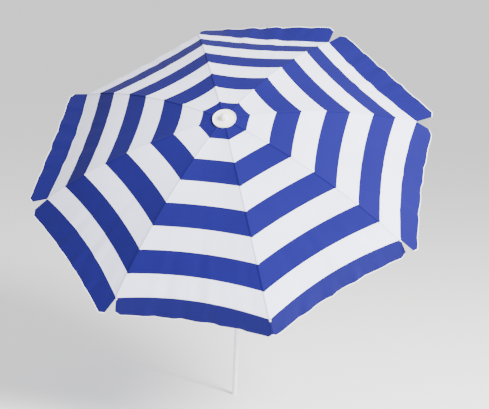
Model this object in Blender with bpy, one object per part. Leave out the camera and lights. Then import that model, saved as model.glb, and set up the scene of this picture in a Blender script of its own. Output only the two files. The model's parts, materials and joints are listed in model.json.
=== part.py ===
# A beach umbrella, open, with its upper pole tilted over. Metres, +Z up.
# The origin is on the lower pole's axis, where the pole goes into the sand.
# The upper half is built in its own frame: the tilt pin is its origin and the upper pole its +Z.
import math

import bmesh
import bpy
from mathutils import Matrix, Vector

# Canopy and ribs
RIB_COUNT = 8
RIB_STEP = 2 * math.pi / RIB_COUNT
FIRST_RIB_AZIMUTH = math.radians(109.3)
RIB_LENGTH = 0.900
RIB_START_SLOPE = math.radians(5)
RIB_END_SLOPE = math.radians(33)
RIB_BEND_RADIUS = RIB_LENGTH / (RIB_END_SLOPE - RIB_START_SLOPE)
RIB_RADIUS = 0.003
BAND_COUNT = 8
PIVOT_RADIUS = 0.024
BAND_WIDTH = (RIB_LENGTH + PIVOT_RADIUS) / BAND_COUNT
GORE_COLUMNS = 3
GORE_BOW = 0.022
HEM_BOW = 0.038
GORE_SAG = 0.007
FABRIC_THICKNESS = 0.0006
FABRIC_LIFT = 0.0056
FABRIC_INNER_RADIUS = 0.016
SEAM_GAP = 0.0004
VALANCE_NOTCH = 0.030
# How far each gore's valance turns in from the canopy's slope, in degrees
VALANCE_TURNS = (0, -25, 10, 40, 40, -15, 5, 20)

# Poles
TUBE_WALL = 0.0012
LOWER_POLE_RADIUS = 0.0125
UPPER_POLE_RADIUS = 0.0110
SLIDING_GAP = 0.0004
TOUCH_GAP = 0.0003
LOWER_POLE_BOTTOM = -0.240
LOWER_POLE_TOP = 0.600
SPIKE_TIP = -0.360
SPIKE_PLUG_LENGTH = 0.030
SPIKE_COLLAR_LENGTH = 0.020
SPIKE_POINT_RADIUS = 0.004
SPIKE_POINT_LENGTH = 0.010
MID_POLE_BOTTOM = 0.200
TILT_HEIGHT = 0.855
TILT_ANGLE = math.radians(45)
TUBE_SIDES = 24

# Crown and runner, which both hold eight arms on a ring of wire
HUB_HEIGHT = 0.870
RIM_RADIUS = 0.030
RING_WIRE_RADIUS = 0.00125
EYE_RADIUS = 0.0017
ARM_TAB_HALF_WIDTH = 0.0015
SLOT_HALF_WIDTH = 0.0018
SLOT_FLOOR_RADIUS = 0.0180
SLOT_MARGIN = 0.0040
EYE_END = 0.0050
EYE_END_HALF_HEIGHT = 0.0030
EYE_HALF_HEIGHT = 0.0038
# An arm stays as thin as its eye until it has passed the corner of the rim that it folds over
TAB_LENGTH = 0.0105
TAPER_END = 0.0155
SLEEVE_RADIUS = 0.0145
HUB_TOP = 0.0032
HUB_RIM_BOTTOM = -0.007
HUB_SLEEVE_BOTTOM = -0.032
RUNNER_RIM_HALF = 0.005
RUNNER_SLEEVE_LENGTH = 0.036

# Rib clamps and stretchers
CLAMP_DISTANCE = 0.390
CLAMP_DROP = 0.014
CLAMP_LENGTH = 0.016
CLAMP_INNER_RADIUS = 0.0034
CLAMP_OUTER_RADIUS = 0.0044
CLAMP_SKIRT = 0.0180
STRETCHER_RADIUS = 0.0025
STRETCHER_END_HALF_WIDTH = 0.0027
RIVET_RADIUS = 0.0014
RIVET_HOLE_RADIUS = 0.0018
RIVET_HALF_LENGTH = 0.0055
RIVET_EYE_TAPER = 0.0100
RIVET_EYE_END = 0.0042
RIVET_EYE_FLAT = 0.0030
RIVET_EYE_HALF_HEIGHT = 0.0036
RIVET_EYE_TIP_HALF_HEIGHT = 0.0026

# Finial
FLANGE_RADIUS = 0.052
FLANGE_THICKNESS = 0.0025
KNOB_RADIUS = 0.017
KNOB_HEIGHT = 0.026

# Tilt joint
PIN_RADIUS = 0.0030
PIN_HOLE_RADIUS = 0.0033
TONGUE_HALF_WIDTH = 0.0060
CHEEK_INNER = 0.0063
CHEEK_OUTER = 0.0120
JOINT_END_RADIUS = 0.0130
SHOULDER = 0.0220
SOCKET_FLOOR = 0.014
SOCKET_LENGTH = 0.044
SOCKET_CHAMFER = 0.002
BUTTON_POCKET_FLOOR = 0.0055
BUTTON_BACK = 0.0090
BUTTON_FRONT = 0.0176
TILT_BUTTON_RADIUS = 0.0042
TILT_BUTTON_HEIGHT = 0.0290

# Height clamp
COLLAR_RADIUS = 0.0180
COLLAR_BOTTOM = 0.555
COLLAR_TOP = 0.612
COLLAR_CHAMFER = 0.003
BOSS_RADIUS = 0.0095
BOSS_START = 0.0145
BOSS_END = 0.0240
CLAMP_SCREW_HEIGHT = 0.578
CLAMP_SCREW_RADIUS = 0.0036
HAND_KNOB_RADIUS = 0.0150
HAND_KNOB_NECK_RADIUS = 0.0080
HAND_KNOB_FACE_RADIUS = 0.0115
HAND_KNOB_THICKNESS = 0.0132
HAND_KNOB_CHAMFER = 0.0020
HAND_KNOB_LOBE = 0.12

# Catch under the open runner
CATCH_HALF_WIDTH = 0.0017
CATCH_LENGTH = 0.030
CATCH_PROUD = 0.0035
CATCH_NOSE = 0.003
CATCH_FOOT_PROUD = 0.0002
CATCH_DEPTH = 0.003

PAINTED_STEEL = ("painted_steel", (0.86, 0.87, 0.90), 0.32, 0.0)
ZINC_STEEL = ("zinc_steel", (0.62, 0.63, 0.65), 0.38, 1.0)
WHITE_PLASTIC = ("white_plastic", (0.88, 0.88, 0.87), 0.42, 0.0)
BLUE_FABRIC = ("blue_fabric", (0.045, 0.058, 0.34), 0.85, 0.0)


def clear_scene():
    for old in list(bpy.data.objects):
        bpy.data.objects.remove(old, do_unlink=True)


def material(finish):
    name, colour, roughness, metallic = finish
    made = bpy.data.materials.get(name)
    if made is None:
        made = bpy.data.materials.new(name)
        made.use_nodes = True
        shader = made.node_tree.nodes["Principled BSDF"]
        shader.inputs["Base Color"].default_value = (*colour, 1.0)
        shader.inputs["Roughness"].default_value = roughness
        shader.inputs["Metallic"].default_value = metallic
    return made


def add_object(name, shape, finish, parent=None, sharp=35):
    mesh = bpy.data.meshes.new(name)
    bmesh.ops.recalc_face_normals(shape, faces=shape.faces)
    shape.to_mesh(mesh)
    shape.free()
    mesh.shade_smooth()
    mesh.set_sharp_from_angle(angle=math.radians(sharp))
    mesh.materials.append(material(finish))
    made = bpy.data.objects.new(name, mesh)
    bpy.context.scene.collection.objects.link(made)
    made.parent = parent
    return made


def add_empty(name, place, turn, parent=None):
    made = bpy.data.objects.new(name, None)
    bpy.context.scene.collection.objects.link(made)
    made.location = place
    made.rotation_euler = turn
    made.parent = parent
    return made


def add_cutter(name, shape, parent=None):
    cutter = add_object(name, shape, WHITE_PLASTIC, parent)
    cutter.hide_render = True
    cutter.display_type = "WIRE"
    return cutter


def combine(made, other, operation="DIFFERENCE"):
    step = made.modifiers.new(other.name, "BOOLEAN")
    step.object = other
    step.operation = operation
    step.solver = "EXACT"


def turned(outline, sides=TUBE_SIDES, ring=True):
    """Spins an outline of (radius, height) points about Z; ring joins its last point to its first."""
    shape = bmesh.new()
    points = [shape.verts.new((radius, 0, height)) for radius, height in outline]
    edges = [shape.edges.new(pair) for pair in zip(points, points[1:])]
    if ring:
        edges.append(shape.edges.new((points[-1], points[0])))
    full = 2 * math.pi
    bmesh.ops.spin(shape, geom=points + edges, cent=(0, 0, 0), axis=(0, 0, 1), angle=full, steps=sides)
    bmesh.ops.remove_doubles(shape, verts=shape.verts, dist=1e-6)
    return shape


def moved(shape, *steps):
    for step in steps:
        bmesh.ops.transform(shape, matrix=step, verts=shape.verts)
    return shape


def tube(inner, outer, bottom, top, sides=TUBE_SIDES):
    return turned([(inner, top), (outer, top), (outer, bottom), (inner, bottom)], sides)


def rod(radius, bottom, top, sides=12):
    return turned([(0, top), (radius, top), (radius, bottom), (0, bottom)], sides, ring=False)


def block(low, high):
    shape = bmesh.new()
    bmesh.ops.create_cube(shape, size=1)
    size = Vector(high) - Vector(low)
    middle = (Vector(high) + Vector(low)) / 2
    return moved(shape, Matrix.Diagonal((*size, 1)), Matrix.Translation(middle))


def extruded(outline, half_width):
    """Extrudes an outline of (y, z) points along X, half_width each way."""
    shape = bmesh.new()
    face = shape.faces.new([shape.verts.new((-half_width, y, z)) for y, z in outline])
    grown = bmesh.ops.extrude_face_region(shape, geom=[face])
    far = [item for item in grown["geom"] if isinstance(item, bmesh.types.BMVert)]
    bmesh.ops.translate(shape, verts=far, vec=(2 * half_width, 0, 0))
    return shape


def lofted(rings):
    """Joins rings of points, one after another, and closes both ends."""
    shape = bmesh.new()
    rows = [[shape.verts.new(point) for point in ring] for ring in rings]
    for row, following in zip(rows, rows[1:]):
        for k in range(len(row)):
            after = (k + 1) % len(row)
            shape.faces.new((row[k], row[after], following[after], following[k]))
    shape.faces.new(rows[0])
    shape.faces.new(rows[-1])
    return shape


def joined(shapes):
    """Puts several shapes side by side in one, as a cutter of many separate bodies."""
    whole = bmesh.new()
    for shape in shapes:
        part = bpy.data.meshes.new("part")
        shape.to_mesh(part)
        shape.free()
        whole.from_mesh(part)
        bpy.data.meshes.remove(part)
    return whole


def arc(centre, radius, start, end, steps):
    """Points (y, z) on an arc about centre, angles in degrees from +Y towards +Z."""
    angles = [math.radians(start + (end - start) * k / steps) for k in range(steps + 1)]
    return [(centre[0] + radius * math.cos(a), centre[1] + radius * math.sin(a)) for a in angles]


def rib_point(along, lift=0.0):
    """The place, as (radius, height), at a distance along a rib's bend and a lift above its centre line."""
    slope = RIB_START_SLOPE + along / RIB_BEND_RADIUS
    radius = PIVOT_RADIUS + RIB_BEND_RADIUS * (math.sin(slope) - math.sin(RIB_START_SLOPE))
    height = HUB_HEIGHT - RIB_BEND_RADIUS * (math.cos(RIB_START_SLOPE) - math.cos(slope))
    return radius + lift * math.sin(slope), height + lift * math.cos(slope)


def band_edges():
    """The distances along a rib where one stripe of fabric meets the next; the last is the hem."""
    return [k * BAND_WIDTH - PIVOT_RADIUS for k in range(1, BAND_COUNT + 1)]


def azimuth_of(number):
    """The azimuth of rib number 1 to 8; they run clockwise seen from above."""
    return FIRST_RIB_AZIMUTH - (number - 1) * RIB_STEP


def place_round(radius, height, azimuth, aside=0.0):
    outward = Vector((math.cos(azimuth), math.sin(azimuth), 0))
    across = Vector((-math.sin(azimuth), math.cos(azimuth), 0))
    return outward * radius + across * aside + Vector((0, 0, height))


def clamp_pivot():
    return rib_point(CLAMP_DISTANCE, -CLAMP_DROP)


def runner_height():
    """The runner's ring lies as far below the clamps' rivets as the crown's ring lies above them."""
    return 2 * clamp_pivot()[1] - HUB_HEIGHT


def section(centre, along, azimuth, half_width, half_height):
    """Eight points round an arm, flat on all four sides."""
    upward = (-along[1], along[0])
    grow = 1 / math.cos(math.pi / 8)
    ring = []
    for k in range(8):
        angle = math.pi / 8 + k * math.pi / 4
        side = half_width * grow * math.cos(angle)
        rise = half_height * grow * math.sin(angle)
        ring.append(place_round(centre[0] + upward[0] * rise, centre[1] + upward[1] * rise, azimuth, side))
    return ring


def make_sand_spike():
    neck = LOWER_POLE_RADIUS - TUBE_WALL - TOUCH_GAP
    shoulder = LOWER_POLE_BOTTOM - TOUCH_GAP
    plug_top = shoulder + SPIKE_PLUG_LENGTH
    outline = [
        (0, plug_top),
        (neck, plug_top),
        (neck, shoulder),
        (LOWER_POLE_RADIUS, shoulder),
        (LOWER_POLE_RADIUS, shoulder - SPIKE_COLLAR_LENGTH),
        (SPIKE_POINT_RADIUS, SPIKE_TIP + SPIKE_POINT_LENGTH),
        (0, SPIKE_TIP),
    ]
    add_object("sand_spike", turned(outline, TUBE_SIDES, ring=False), WHITE_PLASTIC)


def screw_rod(radius, start, end, sides=12):
    """A rod along +X at the height of the clamp screw."""
    turn = Matrix.Rotation(math.pi / 2, 4, "Y")
    return moved(rod(radius, start, end, sides), turn, Matrix.Translation((0, 0, CLAMP_SCREW_HEIGHT)))


def make_lower_pole(screw_hole):
    shape = tube(LOWER_POLE_RADIUS - TUBE_WALL, LOWER_POLE_RADIUS, LOWER_POLE_BOTTOM, LOWER_POLE_TOP)
    combine(add_object("lower_pole", shape, PAINTED_STEEL), screw_hole)


def make_height_collar(screw_hole):
    over_pole = LOWER_POLE_RADIUS + TOUCH_GAP
    over_tube = UPPER_POLE_RADIUS + SLIDING_GAP
    lip = LOWER_POLE_TOP + TOUCH_GAP
    outline = [
        (over_tube, COLLAR_TOP),
        (COLLAR_RADIUS - COLLAR_CHAMFER, COLLAR_TOP),
        (COLLAR_RADIUS, COLLAR_TOP - COLLAR_CHAMFER),
        (COLLAR_RADIUS, COLLAR_BOTTOM + 2 * COLLAR_CHAMFER),
        (COLLAR_RADIUS - COLLAR_CHAMFER, COLLAR_BOTTOM),
        (over_pole, COLLAR_BOTTOM),
        (over_pole, lip),
        (over_tube, lip),
    ]
    collar = add_object("height_collar", turned(outline), WHITE_PLASTIC)
    boss = screw_rod(BOSS_RADIUS, BOSS_START, BOSS_END, 16)
    combine(collar, add_cutter("screw_boss", boss), "UNION")
    combine(collar, screw_hole)


def make_height_knob():
    """A five-lobed hand knob and its screw, whose end presses on the tube inside."""
    lobes = 5
    points = 30
    turn = Matrix.Rotation(math.pi / 2, 4, "Y")
    seat = BOSS_END + TOUCH_GAP
    stations = [
        (UPPER_POLE_RADIUS + SLIDING_GAP, CLAMP_SCREW_RADIUS, 0),
        (seat, CLAMP_SCREW_RADIUS, 0),
        (seat, HAND_KNOB_NECK_RADIUS, 0),
        (seat + HAND_KNOB_CHAMFER, HAND_KNOB_RADIUS, 1),
        (seat + HAND_KNOB_THICKNESS - HAND_KNOB_CHAMFER, HAND_KNOB_RADIUS, 1),
        (seat + HAND_KNOB_THICKNESS, HAND_KNOB_FACE_RADIUS, 1),
    ]
    rings = []
    for distance, radius, lobed in stations:
        ring = []
        for k in range(points):
            angle = 2 * math.pi * k / points
            reach = radius * (1 + lobed * HAND_KNOB_LOBE * math.cos(lobes * angle))
            ring.append(Vector((reach * math.cos(angle), reach * math.sin(angle), distance)))
        rings.append(ring)
    place = Matrix.Translation((0, 0, CLAMP_SCREW_HEIGHT))
    add_object("height_knob", moved(lofted(rings), turn, place), WHITE_PLASTIC)


def make_mid_pole():
    top = TILT_HEIGHT - SHOULDER - SOCKET_FLOOR
    shape = tube(UPPER_POLE_RADIUS - TUBE_WALL, UPPER_POLE_RADIUS, MID_POLE_BOTTOM, top)
    add_object("mid_pole", shape, PAINTED_STEEL)


def make_upper_pole(tilt):
    bottom = SHOULDER + SOCKET_FLOOR
    top = HUB_HEIGHT + HUB_TOP - 0.001
    shape = tube(UPPER_POLE_RADIUS - TUBE_WALL, UPPER_POLE_RADIUS, bottom, top)
    pole = add_object("upper_pole", shape, PAINTED_STEEL, tilt)
    catch_top = runner_height() - RUNNER_SLEEVE_LENGTH - TOUCH_GAP
    half = CATCH_HALF_WIDTH + TOUCH_GAP
    low = catch_top - CATCH_LENGTH - TOUCH_GAP
    inner_corner = (-half, UPPER_POLE_RADIUS - CATCH_DEPTH, low)
    slot = block(inner_corner, (half, UPPER_POLE_RADIUS + CATCH_NOSE, catch_top + TOUCH_GAP))
    combine(pole, add_cutter("catch_slot", slot, tilt))


def make_runner_catch(tilt):
    """A sprung wedge: the runner rides up its ramp and drops back on its square top end."""
    top = runner_height() - RUNNER_SLEEVE_LENGTH - TOUCH_GAP
    root = UPPER_POLE_RADIUS - CATCH_DEPTH
    proud = UPPER_POLE_RADIUS + CATCH_PROUD
    outline = [
        (root, top),
        (proud, top),
        (proud, top - CATCH_NOSE),
        (UPPER_POLE_RADIUS + CATCH_FOOT_PROUD, top - CATCH_LENGTH),
        (root, top - CATCH_LENGTH),
    ]
    add_object("runner_catch", extruded(outline, CATCH_HALF_WIDTH), ZINC_STEEL, tilt)


def rounded_plate(inner, outer, direction):
    """A plate from inner to outer along X, round about the pin and square at the shoulder end."""
    end = direction * (SHOULDER + 0.002)
    half = JOINT_END_RADIUS - 0.0005
    outline = arc((0, 0), half, 0, -180 * direction, 10) + [(-half, end), (half, end)]
    shape = extruded(outline, (outer - inner) / 2)
    return moved(shape, Matrix.Translation(((outer + inner) / 2, 0, 0)))


def socket(direction):
    """A round socket for a tube's end, with a solid floor at the shoulder. direction is +1 upwards."""
    bore = UPPER_POLE_RADIUS + TOUCH_GAP
    floor = SHOULDER + SOCKET_FLOOR - TOUCH_GAP
    end = SHOULDER + SOCKET_LENGTH
    outline = [
        (0, SHOULDER),
        (SLEEVE_RADIUS, SHOULDER),
        (SLEEVE_RADIUS, end - SOCKET_CHAMFER),
        (SLEEVE_RADIUS - SOCKET_CHAMFER, end),
        (bore, end),
        (bore, floor),
        (0, floor),
    ]
    return turned([(radius, direction * height) for radius, height in outline], TUBE_SIDES, ring=False)


def pin_channel(name, parent):
    turn = Matrix.Rotation(math.pi / 2, 4, "Y")
    return add_cutter(name, moved(rod(PIN_HOLE_RADIUS, -0.020, 0.020), turn), parent)


def make_tilt_fork(hinge):
    fork = add_object("tilt_fork", socket(-1), WHITE_PLASTIC, hinge)
    for side in (-1, 1):
        inner, outer = sorted((side * CHEEK_INNER, side * CHEEK_OUTER))
        name = "fork_cheek_left" if side < 0 else "fork_cheek_right"
        cheek = add_cutter(name, rounded_plate(inner, outer, -1), hinge)
        combine(fork, cheek, "UNION")
    combine(fork, pin_channel("fork_pin_channel", hinge))


def make_tilt_tongue(tilt):
    tongue = add_object("tilt_tongue", socket(1), WHITE_PLASTIC, tilt)
    plate = rounded_plate(-TONGUE_HALF_WIDTH, TONGUE_HALF_WIDTH, 1)
    combine(tongue, add_cutter("tongue_plate", plate, tilt), "UNION")
    combine(tongue, pin_channel("tongue_pin_channel", tilt))
    pocket = rod(TILT_BUTTON_RADIUS + TOUCH_GAP, BUTTON_POCKET_FLOOR, BUTTON_FRONT + SLOT_MARGIN)
    combine(tongue, add_cutter("button_pocket", moved(pocket, *button_place()), tilt))


def make_tilt_pin(hinge):
    """A riveted pin: a shank through fork and tongue with a domed head at each end."""
    shank = CHEEK_OUTER + TOUCH_GAP
    outline = [(0, shank + 0.0022), (0.0030, shank + 0.0020), (0.0048, shank + 0.0006), (0.0048, shank)]
    outline += [(PIN_RADIUS, shank)]
    outline += [(radius, -along) for radius, along in reversed(outline)]
    shape = turned(outline, 12, ring=False)
    add_object("tilt_pin", moved(shape, Matrix.Rotation(math.pi / 2, 4, "Y")), ZINC_STEEL, hinge)


def button_place():
    """Turns a rod's +Z to +Y and lifts it to the button's height on the tongue's socket."""
    return Matrix.Rotation(-math.pi / 2, 4, "X"), Matrix.Translation((0, 0, TILT_BUTTON_HEIGHT))


def make_tilt_button(tilt):
    outline = [
        (0, BUTTON_FRONT),
        (TILT_BUTTON_RADIUS - 0.0012, BUTTON_FRONT - 0.0002),
        (TILT_BUTTON_RADIUS, BUTTON_FRONT - 0.0010),
        (TILT_BUTTON_RADIUS, BUTTON_BACK),
        (0, BUTTON_BACK),
    ]
    shape = turned(outline, 12, ring=False)
    add_object("tilt_button", moved(shape, *button_place()), WHITE_PLASTIC, tilt)


def ring_shape(height, wire_radius, sides):
    """A ring of wire; the middle of a straight segment lies exactly on each arm's hinge."""
    segments = 3 * RIB_COUNT
    major = PIVOT_RADIUS / math.cos(math.pi / segments)
    rings = []
    for k in range(segments):
        azimuth = FIRST_RIB_AZIMUTH + (k + 0.5) * 2 * math.pi / segments
        angles = [2 * math.pi * (j + 0.5) / sides for j in range(sides)]
        wire = [(major + wire_radius * math.cos(a), height + wire_radius * math.sin(a)) for a in angles]
        rings.append([place_round(radius, level, azimuth) for radius, level in wire])
    shape = bmesh.new()
    rows = [[shape.verts.new(point) for point in ring] for ring in rings]
    for k in range(segments):
        row, following = rows[k], rows[(k + 1) % segments]
        for j in range(sides):
            after = (j + 1) % sides
            shape.faces.new((row[j], row[after], following[after], following[j]))
    return shape


def slot_cutter(name, low, high, parent):
    """Eight radial slots, open at the rim, top and bottom."""
    slots = []
    for number in range(1, RIB_COUNT + 1):
        inner_corner = (SLOT_FLOOR_RADIUS, -SLOT_HALF_WIDTH, low)
        outer_corner = (RIM_RADIUS + SLOT_MARGIN, SLOT_HALF_WIDTH, high)
        slot = block(inner_corner, outer_corner)
        slots.append(moved(slot, Matrix.Rotation(azimuth_of(number), 4, "Z")))
    return add_cutter(name, joined(slots), parent)


def groove_cutter(name, height, parent):
    """A groove round the rim that the ring of wire is laid in."""
    inner = PIVOT_RADIUS - RING_WIRE_RADIUS - TOUCH_GAP
    shape = tube(inner, RIM_RADIUS + SLOT_MARGIN, height - EYE_RADIUS, height + EYE_RADIUS)
    return add_cutter(name, shape, parent)


def make_hub(tilt):
    bore = UPPER_POLE_RADIUS + TOUCH_GAP
    outline = [
        (bore, HUB_TOP),
        (RIM_RADIUS, HUB_TOP),
        (RIM_RADIUS, HUB_RIM_BOTTOM),
        (SLEEVE_RADIUS, HUB_RIM_BOTTOM),
        (SLEEVE_RADIUS, HUB_SLEEVE_BOTTOM + SOCKET_CHAMFER),
        (SLEEVE_RADIUS - SOCKET_CHAMFER, HUB_SLEEVE_BOTTOM),
        (bore, HUB_SLEEVE_BOTTOM),
    ]
    shape = turned([(radius, HUB_HEIGHT + height) for radius, height in outline])
    hub = add_object("hub", shape, WHITE_PLASTIC, tilt)
    slots_low = HUB_HEIGHT + HUB_RIM_BOTTOM - SLOT_MARGIN
    slots_high = HUB_HEIGHT + HUB_TOP + SLOT_MARGIN
    combine(hub, slot_cutter("hub_slots", slots_low, slots_high, tilt))
    combine(hub, groove_cutter("hub_groove", HUB_HEIGHT, tilt))
    add_object("hub_ring", ring_shape(HUB_HEIGHT, RING_WIRE_RADIUS, 6), ZINC_STEEL, tilt)


def make_runner(tilt):
    bore = UPPER_POLE_RADIUS + SLIDING_GAP
    level = runner_height()
    bottom = level - RUNNER_SLEEVE_LENGTH
    outline = [(bore, level + RUNNER_RIM_HALF), (RIM_RADIUS, level + RUNNER_RIM_HALF)]
    outline += [(RIM_RADIUS, level - RUNNER_RIM_HALF), (SLEEVE_RADIUS, level - RUNNER_RIM_HALF - 0.003)]
    outline += [(SLEEVE_RADIUS, bottom + 0.006), (SLEEVE_RADIUS + 0.003, bottom + 0.003)]
    outline += [(SLEEVE_RADIUS + 0.003, bottom), (bore, bottom)]
    runner = add_object("runner", turned(outline), WHITE_PLASTIC, tilt)
    reach = RUNNER_RIM_HALF + SLOT_MARGIN
    combine(runner, slot_cutter("runner_slots", level - reach, level + reach, tilt))
    combine(runner, groove_cutter("runner_groove", level, tilt))
    add_object("runner_ring", ring_shape(level, RING_WIRE_RADIUS, 6), ZINC_STEEL, tilt)


def make_finial(tilt):
    """A dished flange that clamps the fabric on the crown, and the knob whose plug holds it in the pole."""
    above_fabric = FABRIC_LIFT + FABRIC_THICKNESS + TOUCH_GAP
    centre = rib_point(0, above_fabric)[1] + 0.0012
    edge = rib_point(FLANGE_RADIUS - PIVOT_RADIUS, above_fabric)[1] + 0.0005
    top = FLANGE_THICKNESS
    hole = 0.0060
    outline = [(hole, centre + top), (0.020, centre + top), (FLANGE_RADIUS - 0.005, edge + top + 0.001)]
    outline += [(FLANGE_RADIUS - 0.003, edge + 0.007), (FLANGE_RADIUS, edge + 0.007), (FLANGE_RADIUS, edge)]
    outline += [(PIVOT_RADIUS, centre), (hole, centre)]
    add_object("finial_flange", turned(outline, 32), WHITE_PLASTIC, tilt)
    seat = centre + top + TOUCH_GAP
    stem = hole - TOUCH_GAP
    dome = [(KNOB_RADIUS * math.cos(a), seat + 0.006 + (KNOB_HEIGHT - 0.006) * math.sin(a))
            for a in [math.radians(15 * k) for k in range(7)]]
    outline = [(0, HUB_HEIGHT - 0.012), (stem, HUB_HEIGHT - 0.012), (stem, seat), (KNOB_RADIUS, seat)]
    outline += dome[:-1] + [(0, seat + KNOB_HEIGHT)]
    add_object("finial_knob", turned(outline, 16, ring=False), WHITE_PLASTIC, tilt)


def arm_eye(rod_radius):
    """Stations (along, half width, half height) of the flat eye that an arm has on a ring of wire."""
    return [
        (-EYE_END, ARM_TAB_HALF_WIDTH, EYE_END_HALF_HEIGHT),
        (-EYE_END_HALF_HEIGHT, ARM_TAB_HALF_WIDTH, EYE_HALF_HEIGHT),
        (TAB_LENGTH, ARM_TAB_HALF_WIDTH, EYE_HALF_HEIGHT),
        (TAPER_END, rod_radius, rod_radius),
    ]


def make_rib(number, tilt, ring_channel):
    """A bent rod with a flat eye on the crown's ring."""
    azimuth = azimuth_of(number)
    eye = arm_eye(RIB_RADIUS)
    stations = sorted(band_edges() + [CLAMP_DISTANCE])
    rings = []
    for along, half_width, half_height in eye + [(s, RIB_RADIUS, RIB_RADIUS) for s in stations]:
        slope = RIB_START_SLOPE + along / RIB_BEND_RADIUS
        direction = (math.cos(slope), -math.sin(slope))
        rings.append(section(rib_point(along), direction, azimuth, half_width, half_height))
    rib = add_object(f"rib_{number}", lofted(rings), PAINTED_STEEL, tilt)
    combine(rib, ring_channel)


def make_rib_clamp(number, tilt):
    """A folded steel clip closed over the rib, with the stretcher's rivet across its two cheeks."""
    azimuth = azimuth_of(number)
    radius, height = rib_point(CLAMP_DISTANCE)
    slope = RIB_START_SLOPE + CLAMP_DISTANCE / RIB_BEND_RADIUS
    outline = arc((0, 0), CLAMP_OUTER_RADIUS, 0, 180, 6) + [(-CLAMP_OUTER_RADIUS, -CLAMP_SKIRT)]
    outline += [(-CLAMP_INNER_RADIUS, -CLAMP_SKIRT)] + arc((0, 0), CLAMP_INNER_RADIUS, 180, 0, 6)
    outline += [(CLAMP_INNER_RADIUS, -CLAMP_SKIRT), (CLAMP_OUTER_RADIUS, -CLAMP_SKIRT)]
    lie = Matrix.Rotation(slope, 4, "Y")
    place = Matrix.Translation(place_round(radius, height, azimuth)) @ Matrix.Rotation(azimuth, 4, "Z") @ lie
    clip = moved(extruded(outline, CLAMP_LENGTH / 2), place)
    clamp = add_object(f"rib_clamp_{number}", clip, ZINC_STEEL, tilt)
    crosswise = Matrix.Rotation(math.pi / 2, 4, "X")
    rivet = moved(rod(RIVET_RADIUS, -RIVET_HALF_LENGTH, RIVET_HALF_LENGTH, 8), crosswise)
    rivet = moved(rivet, Matrix.Translation((0, 0, -CLAMP_DROP)), place)
    combine(clamp, add_cutter(f"rivet_{number}", rivet, tilt), "UNION")


def make_stretcher(number, tilt, ring_channel, rivet_channel):
    """A straight rod from the runner's ring to the rib clamp's rivet, with a flat eye at each end."""
    azimuth = azimuth_of(number)
    start = Vector((PIVOT_RADIUS, runner_height()))
    end = Vector(clamp_pivot())
    reach = (end - start).length
    direction = (end - start) / reach
    stations = arm_eye(STRETCHER_RADIUS) + [
        (reach - RIVET_EYE_TAPER, STRETCHER_RADIUS, STRETCHER_RADIUS),
        (reach - RIVET_EYE_END, STRETCHER_END_HALF_WIDTH, RIVET_EYE_HALF_HEIGHT),
        (reach + RIVET_EYE_FLAT, STRETCHER_END_HALF_WIDTH, RIVET_EYE_HALF_HEIGHT),
        (reach + RIVET_EYE_END, STRETCHER_END_HALF_WIDTH, RIVET_EYE_TIP_HALF_HEIGHT),
    ]
    rings = [section(start + direction * along, direction, azimuth, half_width, half_height)
             for along, half_width, half_height in stations]
    stretcher = add_object(f"stretcher_{number}", lofted(rings), PAINTED_STEEL, tilt)
    combine(stretcher, ring_channel)
    combine(stretcher, rivet_channel)


def rivet_channels(tilt):
    """The eight holes for the rivets in the stretchers' outer eyes."""
    radius, height = clamp_pivot()
    channels = []
    for number in range(1, RIB_COUNT + 1):
        azimuth = azimuth_of(number)
        lie = Matrix.Rotation(azimuth, 4, "Z") @ Matrix.Rotation(math.pi / 2, 4, "X")
        place = Matrix.Translation(place_round(radius, height, azimuth)) @ lie
        channels.append(moved(rod(RIVET_HOLE_RADIUS, -0.006, 0.006, 8), place))
    return add_cutter("rivet_channels", joined(channels), tilt)


def gore_point(number, across, along, lift):
    """A point of the gore between rib number and the next. across is 0 on the first rib, 1 on the second."""
    bulge = 1 - (2 * across - 1) ** 2
    share = max(along / RIB_LENGTH, 0)
    bow = GORE_BOW + (HEM_BOW - GORE_BOW) * share ** 4
    distance = along - bow * bulge * max(along, 0)
    radius, height = rib_point(distance, lift)
    first = place_round(radius, height, azimuth_of(number))
    second = place_round(radius, height, azimuth_of(number + 1))
    sag = GORE_SAG * bulge * math.sin(math.pi * share)
    return first.lerp(second, across) - Vector((0, 0, sag))


def valance_point(number, across, share, lift):
    """A point of the flap below the hem, at a share of its width, with its two ends cut to a notch."""
    middle = 0.5
    chord = 2 * rib_point(RIB_LENGTH)[0] * math.sin(RIB_STEP / 2)
    inset = share * VALANCE_NOTCH / chord
    across = middle + (across - middle) * (1 - 2 * inset)
    hem = gore_point(number, across, RIB_LENGTH, lift)
    before = gore_point(number, across, RIB_LENGTH - 0.01, lift)
    outward = (hem - before).normalized()
    ahead = gore_point(number, across + 0.01, RIB_LENGTH, lift)
    chordwise = ahead - gore_point(number, across - 0.01, RIB_LENGTH, lift)
    turn = Matrix.Rotation(math.radians(-VALANCE_TURNS[number - 1]), 3, chordwise.normalized())
    return hem + turn @ outward * (BAND_WIDTH * share)


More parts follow.
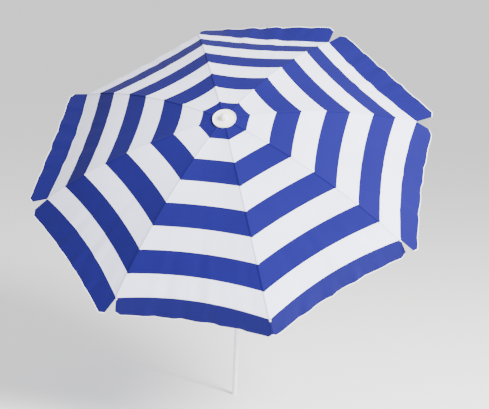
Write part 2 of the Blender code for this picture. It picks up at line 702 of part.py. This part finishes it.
def make_half_gore(number, first_half, tilt):
    """Half of a gore with its half of the valance, hemmed to one rib and meeting its twin at mid-gore."""
    stations = [FABRIC_INNER_RADIUS - PIVOT_RADIUS] + band_edges()
    shape = bmesh.new()
    rows = []
    for along in stations:
        chord = 2 * (along + PIVOT_RADIUS) * math.sin(RIB_STEP / 2)
        edge = SEAM_GAP / chord
        columns = [edge + (0.5 - 2 * edge) * k / GORE_COLUMNS for k in range(GORE_COLUMNS + 1)]
        rows.append([gore_point(number, c if first_half else 1 - c, along, FABRIC_LIFT) for c in columns])
    for share in (0.5, 1.0):
        rows.append([valance_point(number, c if first_half else 1 - c, share, FABRIC_LIFT) for c in columns])
    grid = [[shape.verts.new(point) for point in row] for row in rows]
    for row, following in zip(grid, grid[1:]):
        for k in range(GORE_COLUMNS):
            corners = (row[k], row[k + 1], following[k + 1], following[k])
            shape.faces.new(corners if first_half else corners[::-1])
    half = "a" if first_half else "b"
    mesh = bpy.data.meshes.new(f"gore_{number}{half}")
    shape.to_mesh(mesh)
    shape.free()
    mesh.materials.append(material(BLUE_FABRIC))
    made = bpy.data.objects.new(f"gore_{number}{half}", mesh)
    bpy.context.scene.collection.objects.link(made)
    made.parent = tilt
    skin = made.modifiers.new("thickness", "SOLIDIFY")
    skin.thickness = FABRIC_THICKNESS
    skin.offset = 1
    return made


def build():
    clear_scene()
    hinge = add_empty("tilt_hinge", (0, 0, TILT_HEIGHT), (0, 0, 0))
    tilt = add_empty("upper_frame", (0, 0, 0), (TILT_ANGLE, 0, 0), hinge)
    screw_hole = add_cutter("screw_hole", screw_rod(CLAMP_SCREW_RADIUS + TOUCH_GAP, 0.008, 0.030))
    make_sand_spike()
    make_lower_pole(screw_hole)
    make_height_collar(screw_hole)
    make_height_knob()
    make_mid_pole()
    make_tilt_fork(hinge)
    make_tilt_pin(hinge)
    make_tilt_tongue(tilt)
    make_tilt_button(tilt)
    make_upper_pole(tilt)
    make_runner_catch(tilt)
    make_hub(tilt)
    make_runner(tilt)
    make_finial(tilt)
    rib_eyes = add_cutter("rib_eyes", ring_shape(HUB_HEIGHT, EYE_RADIUS, 8), tilt)
    stretcher_eyes = add_cutter("stretcher_eyes", ring_shape(runner_height(), EYE_RADIUS, 8), tilt)
    rivet_holes = rivet_channels(tilt)
    for number in range(1, RIB_COUNT + 1):
        make_rib(number, tilt, rib_eyes)
        make_rib_clamp(number, tilt)
        make_stretcher(number, tilt, stretcher_eyes, rivet_holes)
        make_half_gore(number, True, tilt)
        make_half_gore(number, False, tilt)


build()
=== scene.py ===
import json
import math
import bmesh
import bpy
from mathutils import Matrix, Quaternion, Vector
from mathutils.kdtree import KDTree


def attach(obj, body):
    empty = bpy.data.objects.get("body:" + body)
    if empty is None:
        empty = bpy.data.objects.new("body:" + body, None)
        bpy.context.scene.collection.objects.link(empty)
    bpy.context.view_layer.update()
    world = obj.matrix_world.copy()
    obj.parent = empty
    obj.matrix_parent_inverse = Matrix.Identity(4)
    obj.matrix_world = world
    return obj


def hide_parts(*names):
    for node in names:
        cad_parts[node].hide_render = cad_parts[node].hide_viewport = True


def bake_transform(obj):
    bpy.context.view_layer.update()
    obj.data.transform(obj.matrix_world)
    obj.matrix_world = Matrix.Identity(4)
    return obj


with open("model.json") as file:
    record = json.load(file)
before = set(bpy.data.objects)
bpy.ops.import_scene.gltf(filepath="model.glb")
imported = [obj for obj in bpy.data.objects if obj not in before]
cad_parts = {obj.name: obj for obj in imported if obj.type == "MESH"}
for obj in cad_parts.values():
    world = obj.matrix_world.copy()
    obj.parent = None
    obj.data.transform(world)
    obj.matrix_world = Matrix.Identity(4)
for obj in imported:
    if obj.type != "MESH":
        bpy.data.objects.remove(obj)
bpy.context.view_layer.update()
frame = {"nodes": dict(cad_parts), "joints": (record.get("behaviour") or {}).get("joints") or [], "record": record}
joints = {joint["name"]: joint for joint in frame["joints"]}
print("frame loaded:", len(frame["nodes"]), "nodes")

# the canopy's shape, in metres and degrees, as the frame's solids have it
canopy = {
    "ribs": 8,
    "firstRibAzimuth": 109.3,
    "ribLength": 0.900,
    "crownSlope": 5,
    "hemSlope": 33,
    "pivotRadius": 0.024,
    "pivotHeight": 0.870,
    "innerRadius": 0.016,
    "fabricLift": 0.0056,
    "bands": 8,
    "innerBow": 0.022,
    "hemBow": 0.038,
    "sag": 0.007,
    "notch": 0.016,
    # how far each flap turns in, at its first rib and its second; the wind lifts the negative ones
    "flapTurns": ((0, -38), (-25, -25), (10, 10), (40, 40), (40, 40), (-8, -8), (-20, -20), (20, 20)),
    "tilt": 45,
}
canopy["bandWidth"] = (canopy["ribLength"] + canopy["pivotRadius"]) / canopy["bands"]
startSlope = math.radians(canopy["crownSlope"])
bendRadius = canopy["ribLength"] / math.radians(canopy["hemSlope"] - canopy["crownSlope"])
ribStep = 2 * math.pi / canopy["ribs"]
tiltPlace = Vector(joints["tilt"]["pos_m"])
toWorld = Matrix.Translation(tiltPlace) @ Matrix.Rotation(math.radians(canopy["tilt"]), 4, "X")


def azimuthOf(number):
    return math.radians(canopy["firstRibAzimuth"]) - (number - 1) * ribStep


def placeRound(radius, height, azimuth):
    return Vector((math.cos(azimuth) * radius, math.sin(azimuth) * radius, height))


def ribPoint(along, lift=0.0):
    slope = startSlope + along / bendRadius
    radius = canopy["pivotRadius"] + bendRadius * (math.sin(slope) - math.sin(startSlope))
    height = canopy["pivotHeight"] - bendRadius * (math.cos(startSlope) - math.cos(slope))
    return radius + lift * math.sin(slope), height + lift * math.cos(slope)


# across runs from 0 on a rib to 1 on the next, along from the crown to the hem
def gorePoint(number, across, along, lift):
    bulge = 1 - (2 * across - 1) ** 2
    share = max(along / canopy["ribLength"], 0)
    bow = canopy["innerBow"] + (canopy["hemBow"] - canopy["innerBow"]) * share ** 4
    radius, height = ribPoint(along - bow * bulge * max(along, 0), lift)
    first = placeRound(radius, height, azimuthOf(number))
    second = placeRound(radius, height, azimuthOf(number + 1))
    dip = canopy["sag"] * bulge * math.sin(math.pi * share)
    return first.lerp(second, across) - Vector((0, 0, dip))


cloth = {
    "columns": 12,
    "rowsPerBand": 9,
    "flapRows": 9,
    "thickness": 0.0004,
    "pucker": 0.0011,
    "hemWave": 0.0022,
    "flapWave": 0.0042,
    "cornerRound": 0.09,
    "creaseWidth": 0.06,
}


# small ripples that are nothing at the ribs, so the halves of a gore still meet
def rippleAt(number, across, share):
    bulge = 1 - (2 * across - 1) ** 2
    radial = math.sin(across * 31 + number * 1.7) + 0.6 * math.sin(across * 53 + number * 2.9 + share * 4)
    tension = math.sin(share * 19 + number) * (1 - bulge) * 0.6
    return bulge * (cloth["hemWave"] * share ** 4 * radial + cloth["pucker"] * tension)


def flapPoint(number, across, share):
    lift = canopy["fabricLift"]
    chord = 2 * ribPoint(canopy["ribLength"])[0] * math.sin(ribStep / 2)
    edge = min(across, 1 - across) * chord
    inset = share * canopy["notch"] / chord
    across = 0.5 + (across - 0.5) * (1 - 2 * inset)
    hem = gorePoint(number, across, canopy["ribLength"], lift)
    outward = (hem - gorePoint(number, across, canopy["ribLength"] - 0.01, lift)).normalized()
    side = gorePoint(number, across + 0.01, canopy["ribLength"], lift)
    chordwise = (side - gorePoint(number, across - 0.01, canopy["ribLength"], lift)).normalized()
    first, second = canopy["flapTurns"][number - 1]
    lifted = first + (second - first) * across
    turn = Matrix.Rotation(math.radians(-lifted), 3, chordwise)
    # the lower corners are cut round
    corner = max(0, 1 - edge / (cloth["cornerRound"] * chord / 2))
    drop = canopy["bandWidth"] * share * (1 - 0.22 * corner ** 2)
    down = turn @ outward
    wave = cloth["flapWave"] * share * math.sin(across * 38 + number * 2.3)
    wave += 0.5 * cloth["flapWave"] * share * math.sin(across * 71 + number)
    bulge = 1 - (2 * across - 1) ** 2
    return hem + down * drop + down.cross(chordwise) * wave * bulge


def clothPoint(number, across, row, rows):
    if row <= rows:
        inner = canopy["innerRadius"] - canopy["pivotRadius"]
        along = inner + (canopy["ribLength"] - inner) * row / rows
        share = max(along / canopy["ribLength"], 0)
        return gorePoint(number, across, along, canopy["fabricLift"] + rippleAt(number, across, share)), along
    share = (row - rows) / cloth["flapRows"]
    hemRipple = Vector((0, 0, rippleAt(number, across, 1))) * (1 - share)
    return flapPoint(number, across, share) + hemRipple, canopy["ribLength"] + share * canopy["bandWidth"]


# shading follows the whole gore, so no crease shows where its two halves meet
def clothNormal(number, across, row, rows):
    step = 0.004
    beside = clothPoint(number, min(across + step, 1), row, rows)[0] - clothPoint(number, max(across - step, 0), row, rows)[0]
    above, below = max(row - 0.5, 0), min(row + 0.5, rows + cloth["flapRows"])
    onward = clothPoint(number, across, below, rows)[0] - clothPoint(number, across, above, rows)[0]
    normal = onward.cross(beside).normalized()
    normal = -normal if normal.z < 0 and row <= rows else normal
    return (toWorld.to_3x3() @ normal).normalized()


def newMesh(name, rows, uvRows=None, closed=False):
    shape = bmesh.new()
    layer = shape.loops.layers.uv.new("cloth") if uvRows else None
    grid = [[shape.verts.new(point) for point in row] for row in rows]
    for i in range(len(grid) - 1):
        count = len(grid[i])
        for j in range(count if closed else count - 1):
            k = (j + 1) % count
            face = shape.faces.new((grid[i][j], grid[i][k], grid[i + 1][k], grid[i + 1][j]))
            face.smooth = True
            if layer:
                spots = ((i, j), (i, k), (i + 1, k), (i + 1, j))
                for loop, (a, b) in zip(face.loops, spots):
                    loop[layer].uv = uvRows[a][b]
    if closed:
        shape.faces.new(grid[0])
        shape.faces.new(grid[-1])
        bmesh.ops.recalc_face_normals(shape, faces=shape.faces)
    mesh = bpy.data.meshes.new(name)
    shape.to_mesh(mesh)
    shape.free()
    made = bpy.data.objects.new(name, mesh)
    bpy.context.scene.collection.objects.link(made)
    return made


def applyModifier(made, kind, settings):
    bpy.ops.object.select_all(action="DESELECT")
    made.select_set(True)
    bpy.context.view_layer.objects.active = made
    step = made.modifiers.new(kind.lower(), kind)
    for name, value in settings.items():
        setattr(step, name, value)
    bpy.ops.object.modifier_apply(modifier=step.name)


# materials

def linearColour(code):
    parts = [int(code[k:k + 2], 16) / 255 for k in (0, 2, 4)]
    return (*[c / 12.92 if c <= 0.04045 else ((c + 0.055) / 1.055) ** 2.4 for c in parts], 1.0)


def addNode(tree, kind, settings=None, links=None):
    node = tree.nodes.new(kind)
    for name, value in (settings or {}).items():
        if isinstance(name, int):
            node.inputs[name].default_value = value
        elif name in node.inputs and not hasattr(type(node), name):
            node.inputs[name].default_value = value
        else:
            setattr(node, name, value)
    for name, source in (links or {}).items():
        tree.links.new(source, node.inputs[name])
    return node


def startMaterial(name, settings):
    made = bpy.data.materials.new(name)
    made.use_nodes = True
    shader = made.node_tree.nodes["Principled BSDF"]
    for socket, value in settings.items():
        shader.inputs[socket].default_value = value
    return made, made.node_tree, shader


# woven polyester, printed by sewing strips: matt, a fine plain weave, lapped seams between strips
wovenStripes = {
    "blue": "120E58",
    "white": "E0E2FA",
    "threadMm": 1.6,     # the real thread is near 0.3 mm; drawn coarser so that it shows
    "seamMm": 5.0,
    "fadeScale": 5.0,
}


def stripedPolyester():
    made, tree, shader = startMaterial("wovenPolyester", {"Roughness": 0.85, "Sheen Weight": 0.02, "Specular IOR Level": 0.12})
    uv = addNode(tree, "ShaderNodeUVMap", {"uv_map": "cloth"})
    parts = addNode(tree, "ShaderNodeSeparateXYZ", links={0: uv.outputs[0]})
    shifted = addNode(tree, "ShaderNodeMath", {"operation": "ADD", 1: canopy["pivotRadius"]}, {0: parts.outputs[1]})
    bands = addNode(tree, "ShaderNodeMath", {"operation": "DIVIDE", 1: canopy["bandWidth"]}, {0: shifted.outputs[0]})
    pair = addNode(tree, "ShaderNodeMath", {"operation": "MODULO", 1: 2.0}, {0: bands.outputs[0]})
    isWhite = addNode(tree, "ShaderNodeMath", {"operation": "GREATER_THAN", 1: 1.0}, {0: pair.outputs[0]})
    # sun fade and handling: broad faint mottling of each strip
    fade = addNode(tree, "ShaderNodeTexNoise", {"Scale": wovenStripes["fadeScale"], "Detail": 3.0})
    place = addNode(tree, "ShaderNodeTexCoord")
    tree.links.new(place.outputs["Object"], fade.inputs["Vector"])
    stripes = addNode(tree, "ShaderNodeMix", {"data_type": "RGBA"})
    stripes.inputs[6].default_value = linearColour(wovenStripes["blue"])
    stripes.inputs[7].default_value = linearColour(wovenStripes["white"])
    tree.links.new(isWhite.outputs[0], stripes.inputs[0])
    level = addNode(tree, "ShaderNodeMapRange", {"From Min": 0.3, "From Max": 0.7, "To Min": 0.94, "To Max": 1.03}, {0: fade.outputs[0]})
    mottled = addNode(tree, "ShaderNodeVectorMath", {"operation": "SCALE"}, {0: stripes.outputs[2], 3: level.outputs[0]})
    # plain weave: two crossed waves
    thread = wovenStripes["threadMm"] / 1000
    warp = addNode(tree, "ShaderNodeMath", {"operation": "MULTIPLY", 1: 2 * math.pi / thread}, {0: parts.outputs[0]})
    weft = addNode(tree, "ShaderNodeMath", {"operation": "MULTIPLY", 1: 2 * math.pi / thread}, {0: parts.outputs[1]})
    warpWave = addNode(tree, "ShaderNodeMath", {"operation": "SINE"}, {0: warp.outputs[0]})
    weftWave = addNode(tree, "ShaderNodeMath", {"operation": "SINE"}, {0: weft.outputs[0]})
    weave = addNode(tree, "ShaderNodeMath", {"operation": "MULTIPLY"}, {0: warpWave.outputs[0], 1: weftWave.outputs[0]})
    # the lapped seam on each strip's edge: a low ridge seamMm wide
    nearest = addNode(tree, "ShaderNodeMath", {"operation": "PINGPONG", 1: 0.5}, {0: bands.outputs[0]})
    halfSeam = wovenStripes["seamMm"] / 2000 / canopy["bandWidth"]
    ridge = addNode(tree, "ShaderNodeMapRange", {"From Min": 0.0, "From Max": halfSeam, "To Min": 1.0, "To Max": 0.0}, {0: nearest.outputs[0]})
    height = addNode(tree, "ShaderNodeMath", {"operation": "MULTIPLY_ADD", 1: 0.12}, {0: weave.outputs[0], 2: ridge.outputs[0]})
    bump = addNode(tree, "ShaderNodeBump", {"Strength": 0.35, "Distance": 0.0006}, {"Height": height.outputs[0]})
    # painted shade: the weave wave darkens the hollows between threads and lightens the crossings in the colour
    shade = addNode(tree, "ShaderNodeMapRange", {"From Min": -1.0, "From Max": 1.0, "To Min": 0.97, "To Max": 1.02}, {0: weave.outputs[0]})
    finished = addNode(tree, "ShaderNodeVectorMath", {"operation": "SCALE"}, {0: mottled.outputs[0], 3: shade.outputs[0]})
    tree.links.new(finished.outputs[0], shader.inputs["Base Color"])
    tree.links.new(bump.outputs[0], shader.inputs["Normal"])
    return made


# one pattern of grain or wear over a plain finish; what each gives the eye is beside its use
def grainedFinish(name, code, settings, grainMm, roughLow, roughHigh, bumpStrength, tint=0.03):
    made, tree, shader = startMaterial(name, settings)
    place = addNode(tree, "ShaderNodeTexCoord")
    grain = addNode(tree, "ShaderNodeTexNoise", {"Scale": 1000 / grainMm, "Detail": 4.0}, {"Vector": place.outputs["Object"]})
    cloudy = addNode(tree, "ShaderNodeTexNoise", {"Scale": 22.0, "Detail": 3.0}, {"Vector": place.outputs["Object"]})
    rough = addNode(tree, "ShaderNodeMapRange", {"From Min": 0.3, "From Max": 0.7, "To Min": roughLow, "To Max": roughHigh}, {0: cloudy.outputs[0]})
    level = addNode(tree, "ShaderNodeMapRange", {"From Min": 0.3, "From Max": 0.7, "To Min": 1 - tint, "To Max": 1.0}, {0: cloudy.outputs[0]})
    colour = addNode(tree, "ShaderNodeVectorMath", {"operation": "SCALE", 0: linearColour(code)[:3]}, {3: level.outputs[0]})
    bump = addNode(tree, "ShaderNodeBump", {"Strength": bumpStrength, "Distance": 0.0002}, {"Height": grain.outputs[0]})
    tree.links.new(colour.outputs[0], shader.inputs["Base Color"])
    tree.links.new(rough.outputs[0], shader.inputs["Roughness"])
    tree.links.new(bump.outputs[0], shader.inputs["Normal"])
    return made


polyester = stripedPolyester()
# powder coat on tube: glossy with a faint orange peel
powderCoat = grainedFinish("whitePowderCoat", "EDEEF4", {"Coat Weight": 0.25, "Coat Roughness": 0.2}, 3.0, 0.28, 0.38, 0.10)
# bright zinc on wire and clips: grey, a little cloudy
zincPlate = grainedFinish("brightZincPlate", "C6C9CE", {"Metallic": 1.0}, 1.2, 0.28, 0.46, 0.12, 0.08)
# moulded polypropylene: satin with a fine spark texture
polypropylene = grainedFinish("mouldedPolypropylene", "ECECEA", {"IOR": 1.49}, 0.9, 0.38, 0.52, 0.14)
blueMoulding = grainedFinish("blueMouldedPolypropylene", "343C98", {"IOR": 1.49}, 0.9, 0.40, 0.54, 0.14)
# bias tape round the flaps: white cotton blend
trimTape = grainedFinish("whiteBiasTape", "F2F2F8", {"Sheen Weight": 0.1}, 0.8, 0.74, 0.86, 0.30)
print("materials made")

fabricPieces = []
hemPieces = {}
trim = {"radius": 0.0016, "sides": 6}


def makeHalf(number, firstHalf):
    letter = "a" if firstHalf else "b"
    rib = number if firstHalf else number % canopy["ribs"] + 1
    rows = canopy["bands"] * cloth["rowsPerBand"]
    points, uvs = [], []
    for row in range(rows + cloth["flapRows"] + 1):
        line, uvLine = [], []
        for column in range(cloth["columns"] + 1):
            half = 0.5 * column / cloth["columns"]
            across = half if firstHalf else 1 - half
            point, along = clothPoint(number, across, row, rows)
            radius = ribPoint(max(along, 0))[0]
            line.append(toWorld @ point)
            uvLine.append((across * 2 * radius * math.sin(ribStep / 2), along))
        points.append(line)
        uvs.append(uvLine)
    if not firstHalf:
        points = [line[::-1] for line in points]
        uvs = [line[::-1] for line in uvs]
    piece = newMesh(f"cloth_{number}{letter}", points, uvs)
    # the outside is up: check one face and turn the sheet over if it isn't
    piece.data.update()
    if piece.data.polygons[len(piece.data.polygons) // 2].normal.dot(toWorld.to_3x3() @ Vector((0, 0, 1))) < 0:
        piece.data.flip_normals()
    flatArea = sum(face.area for face in piece.data.polygons)
    applyModifier(piece, "SOLIDIFY", {"thickness": cloth["thickness"], "offset": 1.0})
    piece.data.materials.append(polyester)
    spots = [(row, column) for row in range(rows + cloth["flapRows"] + 1) for column in range(cloth["columns"] + 1)]
    known = []
    for row, column in spots:
        half = 0.5 * (column if firstHalf else cloth["columns"] - column) / cloth["columns"]
        known.append((Vector(points[row][column]), clothNormal(number, half if firstHalf else 1 - half, row, rows)))
    finder = KDTree(len(known))
    for k, (place, normal) in enumerate(known):
        finder.insert(place, k)
    finder.balance()
    normals = []
    for vertex in piece.data.vertices:
        smooth = known[finder.find(vertex.co)[1]][1]
        normals.append(smooth if smooth.dot(vertex.normal) > 0 else -smooth)
    piece.data.normals_split_custom_set_from_vertices(normals)
    across = Vector((-math.sin(azimuthOf(rib)), math.cos(azimuthOf(rib)), 0)) * (-1 if firstHalf else 1)
    across = toWorld.to_3x3() @ across
    # bias tape along the flap's lower edge
    edge = points[-1]
    ring = []
    for k, point in enumerate(edge):
        ahead = (edge[min(k + 1, len(edge) - 1)] - edge[max(k - 1, 0)]).normalized()
        inward = (points[-2][k] - point).normalized()
        aside = ahead.cross(inward).normalized()
        ring.append([point + (inward * math.cos(t) * 1.6 + aside * math.sin(t)) * trim["radius"]
                     for t in [2 * math.pi * s / trim["sides"] for s in range(trim["sides"])]])
    hem = newMesh(f"hemTape_{number}{letter}", ring, closed=True)
    hem.data.materials.append(trimTape)
    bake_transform(piece)
    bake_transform(hem)
    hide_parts(f"gore_{number}{letter}")
    fabricPieces.append(flatArea)


for number in range(1, canopy["ribs"] + 1):
    makeHalf(number, True)
    makeHalf(number, False)
print("cloth made, square metres:", round(sum(fabricPieces), 3))

# the felled seam over each rib, where two gores are sewn together
ribSeam = {"halfWidth": 0.0055, "rise": 0.0006, "stations": 72}
for number in range(1, canopy["ribs"] + 1):
    azimuth = azimuthOf(number)
    aside = Vector((-math.sin(azimuth), math.cos(azimuth), 0))
    inner = canopy["innerRadius"] - canopy["pivotRadius"] + 0.012
    rows, uvs = [], []
    for k in range(ribSeam["stations"] + 1):
        along = inner + (canopy["ribLength"] - inner) * k / ribSeam["stations"]
        line, uvLine = [], []
        for side in (-1, -0.6, 0, 0.6, 1):
            lift = canopy["fabricLift"] + cloth["thickness"] + ribSeam["rise"] * (1 - side ** 2)
            radius, height = ribPoint(along, lift)
            # the cloth falls away from the rib on both sides, so the strip's edges follow it down
            point = placeRound(radius, height, azimuth) + aside * side * ribSeam["halfWidth"]
            line.append(toWorld @ point)
            uvLine.append((side * ribSeam["halfWidth"], along))
        rows.append(line)
        uvs.append(uvLine)
    seam = newMesh(f"ribSeam_{number}", rows, uvs)
    if seam.data.polygons[0].normal.dot(toWorld.to_3x3() @ Vector((0, 0, 1))) < 0:
        seam.data.flip_normals()
    applyModifier(seam, "SOLIDIFY", {"thickness": 0.0004, "offset": 0.0})
    seam.data.materials.append(polyester)
    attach(seam, f"rib_{number}")
print("rib seams made")

# moulded caps pushed over the ribs' ends: a collar at the mouth, a domed outer end
ribCap = {
    "radius": 0.0042,
    "length": 0.015,
    "bevel": 0.0004,
    "overhang": 0.006,
    # each step is how far the end face moves on and how much it is scaled
    "dome": ((0.0014, 0.93), (0.0012, 0.82), (0.0008, 0.60), (0.0003, 0.40)),
    "mouth": ((0.0, 1.24), (0.0022, 1.0), (0.0, 0.78), (-0.0012, 1.0)),
}


def growEnd(made, side, steps):
    for face in made.data.polygons:
        face.select = face.normal.z * side > 0.9
    bpy.ops.object.mode_set(mode="EDIT")
    bpy.ops.mesh.select_mode(type="FACE")
    for rise, scale in steps:
        bpy.ops.mesh.extrude_region_move(TRANSFORM_OT_translate={"value": (0, 0, side * rise)})
        bpy.ops.transform.resize(value=(scale, scale, 1))
    bpy.ops.object.mode_set(mode="OBJECT")


for number in range(1, canopy["ribs"] + 1):
    bpy.ops.object.select_all(action="DESELECT")
    bpy.ops.mesh.primitive_cylinder_add(vertices=24, radius=ribCap["radius"], depth=ribCap["length"])
    cap = bpy.context.object
    cap.name = f"ribCap_{number}"
    growEnd(cap, 1, ribCap["dome"])
    growEnd(cap, -1, ribCap["mouth"])
    applyModifier(cap, "BEVEL", {"width": ribCap["bevel"], "segments": 2, "limit_method": "ANGLE"})
    bpy.ops.object.shade_smooth_by_angle(angle=math.radians(40))
    radius, height = ribPoint(canopy["ribLength"] + ribCap["overhang"] - ribCap["length"] / 2)
    slope = math.radians(canopy["hemSlope"])
    azimuth = azimuthOf(number)
    lie = Matrix.Rotation(azimuth, 4, "Z") @ Matrix.Rotation(math.pi / 2 + slope, 4, "Y")
    cap.data.transform(toWorld @ Matrix.Translation(placeRound(radius, height, azimuth)) @ lie)
    cap.data.materials.append(polypropylene)
    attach(cap, f"rib_{number}")
print("rib caps made")

finishes = {
    "pole_paint": powderCoat,
    "rib_paint": powderCoat,
    "zinc_steel": zincPlate,
    "white_plastic": polypropylene,
    "finial_plastic": polypropylene,
    "knob_plastic": blueMoulding,
}
for part in frame["record"]["subparts"]:
    finish = finishes.get(part["material_slot"])
    if finish:
        node = frame["nodes"][part["node"]]
        node.data.materials.clear()
        node.data.materials.append(finish)
print("parts finished")

# floor, lights and camera
studio = {"floorSize": 60, "floor": "FFFFFF", "world": 1.1, "keyPower": 1500, "fillPower": 25}
bpy.ops.object.select_all(action="DESELECT")
bpy.ops.mesh.primitive_plane_add(size=studio["floorSize"], location=(0, 0, 0))
floor = bpy.context.object
floor.name = "floor"
paleFloor, floorTree, floorShader = startMaterial("paleFloor", {"Roughness": 0.9})
floorShader.inputs["Base Color"].default_value = linearColour(studio["floor"])
floor.data.materials.append(paleFloor)

world = bpy.data.worlds.new("softStudio")
bpy.context.scene.world = world
world.use_nodes = True
world.node_tree.nodes["Background"].inputs[0].default_value = (1.0, 1.0, 1.0, 1.0)
world.node_tree.nodes["Background"].inputs[1].default_value = studio["world"]


def addLamp(name, place, aim, power, size, colour):
    data = bpy.data.lights.new(name, "AREA")
    data.energy, data.size, data.color = power, size, colour
    lamp = bpy.data.objects.new(name, data)
    bpy.context.scene.collection.objects.link(lamp)
    lamp.location = place
    lamp.rotation_mode = "QUATERNION"
    lamp.rotation_quaternion = (Vector(aim) - Vector(place)).to_track_quat("-Z", "Y")


addLamp("keyLight", (4.2, -3.2, 4.4), (0, -0.4, 1.3), studio["keyPower"], 2.2, (1.0, 0.99, 0.97))
addLamp("fillLight", (-4.0, -4.0, 2.5), (0, -0.4, 1.3), studio["fillPower"], 3.5, (0.86, 0.88, 1.0))

view = {"place": (0.774, -5.007, 1.782), "look": (-0.2435, 0.9574, -0.1553), "roll": 1.53, "lens": 74.21, "shift": 0.20}
camera = bpy.data.objects.new("camera", bpy.data.cameras.new("camera"))
bpy.context.scene.collection.objects.link(camera)
camera.location = view["place"]
camera.rotation_mode = "QUATERNION"
camera.rotation_quaternion = Vector(view["look"]).to_track_quat("-Z", "Y") @ Quaternion((0, 0, 1), math.radians(view["roll"]))
camera.data.lens = view["lens"]
camera.data.shift_x = view["shift"]
bpy.context.scene.camera = camera
print("stage set")
